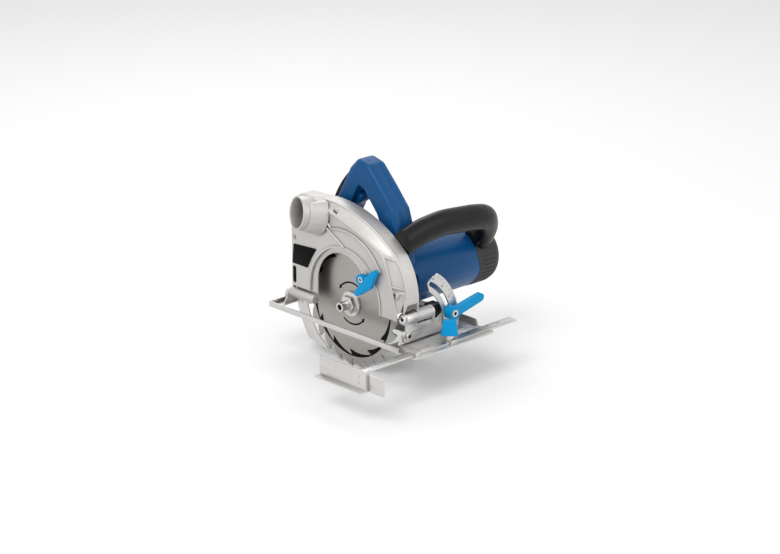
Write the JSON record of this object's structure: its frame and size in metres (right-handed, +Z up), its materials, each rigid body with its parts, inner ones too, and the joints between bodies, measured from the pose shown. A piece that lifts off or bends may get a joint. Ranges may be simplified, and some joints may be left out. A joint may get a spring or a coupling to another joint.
{
  "type": "circular saw",
  "caption": "Corded hand-held circular saw with cast blade guard, swinging lower guard, loop and bow handles, tilting sole, depth and bevel clamps, dust port and edge guide.",
  "frame": {"origin": "on the sole plane, straight under the arbor, in the middle plane of the blade", "axes": "+X forward along the cut, +Y from the blade to the motor, +Z up from the sole"},
  "size_m": [0.3335, 0.374, 0.3019],
  "materials": {
    "housing_blue": "blue moulded plastic, satin",
    "lever_blue": "bright blue moulded plastic",
    "guard_cast": "cast, bead-blasted and clear coated",
    "black_plastic": "black moulded plastic, fine texture",
    "cap_grey": "dark grey moulded plastic, ribbed",
    "soft_black": "soft over-moulded rubber",
    "blade_steel": "ground tool steel",
    "zinc_steel": "zinc-plated pressed steel",
    "bolt_steel": "turned steel, bright",
    "gear_steel": "hardened gear steel",
    "lamination": "stacked electrical steel",
    "copper": "enamelled copper",
    "bush_brass": "sintered bronze",
    "carbon": "pressed carbon",
    "plate_black": "bare black label plate"
  },
  "bodies": {
    "base": {"base_plate": "zinc_steel", "guide_straps": "zinc_steel", "quadrant": "zinc_steel", "bevel_pivots": "bolt_steel"},
    "edge_guide": {"guide_bar": "zinc_steel", "fence": "zinc_steel", "fence_rivets": "bolt_steel"},
    "guide_screw": {"wing_screw": "lever_blue"},
    "tilt_frame": {"bevel_bracket": "zinc_steel", "rear_bracket": "zinc_steel", "depth_pin": "bolt_steel", "pivot_cover": "black_plastic"},
    "bevel_clamp": {"bevel_lever": "lever_blue", "bevel_clamp_screw": "bolt_steel"},
    "head": {"upper_guard": "guard_cast", "dust_port": "guard_cast", "guard_screws": "bolt_steel", "name_plate": "plate_black", "riving_knife": "zinc_steel", "knife_holder": "zinc_steel", "knife_screws": "bolt_steel", "guard_spring": "bolt_steel", "gear_case": "guard_cast", "gear_bushes": "bush_brass", "front_spindle_bearing": "bolt_steel", "small_bearings": "bolt_steel", "front_motor_bearing": "bolt_steel", "motor_seat": "black_plastic", "motor_housing": "housing_blue", "end_cap": "cap_grey", "cable_gland": "black_plastic", "stator_core": "lamination", "field_coils": "copper", "carbon_brushes": "carbon", "brush_holders": "bush_brass", "handle_right": "housing_blue", "handle_left": "housing_blue", "handle_screws": "bolt_steel", "soft_grip": "soft_black", "switch_block": "black_plastic", "front_handle": "black_plastic"},
    "depth_clamp": {"depth_lever": "lever_blue", "depth_clamp_screw": "bolt_steel"},
    "spindle_group": {"blade": "blade_steel", "inner_flange": "bolt_steel", "outer_flange": "bolt_steel", "arbor_bolt": "bolt_steel", "spindle": "bolt_steel", "driven_gear": "gear_steel"},
    "lay_group": {"layshaft": "gear_steel"},
    "armature": {"armature_shaft": "gear_steel", "armature_core": "lamination", "commutator": "copper", "cooling_fan": "black_plastic"},
    "lower_guard": {"lower_guard": "guard_cast", "guard_lever": "lever_blue", "guard_lever_screw": "bolt_steel"},
    "trigger": {"trigger": "housing_blue"},
    "lock_button": {"lock_button": "black_plastic"},
    "spindle_lock": {"spindle_lock": "black_plastic"}
  },
  "joints": [
    {"name": "guide_slide", "type": "slide", "parent": "base", "child": "edge_guide", "axis": [0, 1, 0], "range_m": [-0.09, 0.085]},
    {"name": "guide_screw_turn", "type": "hinge", "parent": "base", "child": "guide_screw", "pos_m": [0.156, 0.04, 0.012], "axis": [0, 0, 1], "continuous": true},
    {"name": "bevel_tilt", "type": "hinge", "parent": "base", "child": "tilt_frame", "pos_m": [0.118, -0.006, 0.013], "axis": [1, 0, 0], "range_deg": [0, 45]},
    {"name": "bevel_clamp_turn", "type": "hinge", "parent": "tilt_frame", "child": "bevel_clamp", "pos_m": [0.13, 0.07085, 0.03131], "axis": [1, 0, 0], "range_deg": [0, 60]},
    {"name": "depth_swing", "type": "hinge", "parent": "tilt_frame", "child": "head", "pos_m": [0.115, 0, 0.037], "axis": [0, 1, 0], "range_deg": [0, 36]},
    {"name": "depth_clamp_turn", "type": "hinge", "parent": "head", "child": "depth_clamp", "pos_m": [-0.049, 0.025, 0.057], "axis": [0, 1, 0], "range_deg": [0, 40]},
    {"name": "blade_spin", "type": "hinge", "parent": "head", "child": "spindle_group", "pos_m": [0, 0, 0.029], "axis": [0, 1, 0], "continuous": true},
    {"name": "lay_spin", "type": "hinge", "parent": "head", "child": "lay_group", "pos_m": [0.0114, 0.03, 0.05675], "axis": [0, 1, 0], "continuous": true},
    {"name": "armature_spin", "type": "hinge", "parent": "head", "child": "armature", "pos_m": [0.035, 0.1, 0.065], "axis": [0, 1, 0], "continuous": true},
    {"name": "lower_guard_swing", "type": "hinge", "parent": "head", "child": "lower_guard", "pos_m": [0, 0.008, 0.029], "axis": [0, 1, 0], "range_deg": [-87, 0], "stiffness_Nm_per_rad": 0.2, "springref_deg": -91.67},
    {"name": "trigger_pull", "type": "slide", "parent": "head", "child": "trigger", "axis": [-0.866, 0, 0.5], "range_m": [0, 0.005], "stiffness_N_per_m": 400, "springref_m": -0.003},
    {"name": "lock_button_press", "type": "slide", "parent": "head", "child": "lock_button", "axis": [0, -1, 0], "range_m": [0, 0.003], "stiffness_N_per_m": 400, "springref_m": -0.003},
    {"name": "spindle_lock_press", "type": "slide", "parent": "head", "child": "spindle_lock", "axis": [1, 0, 0], "range_m": [0, 0.0028], "stiffness_N_per_m": 500, "springref_m": -0.003}
  ],
  "couplings": [
    {"joint": "lay_spin", "follows": "blade_spin", "ratio": -2.3333},
    {"joint": "armature_spin", "follows": "blade_spin", "ratio": 7}
  ]
}
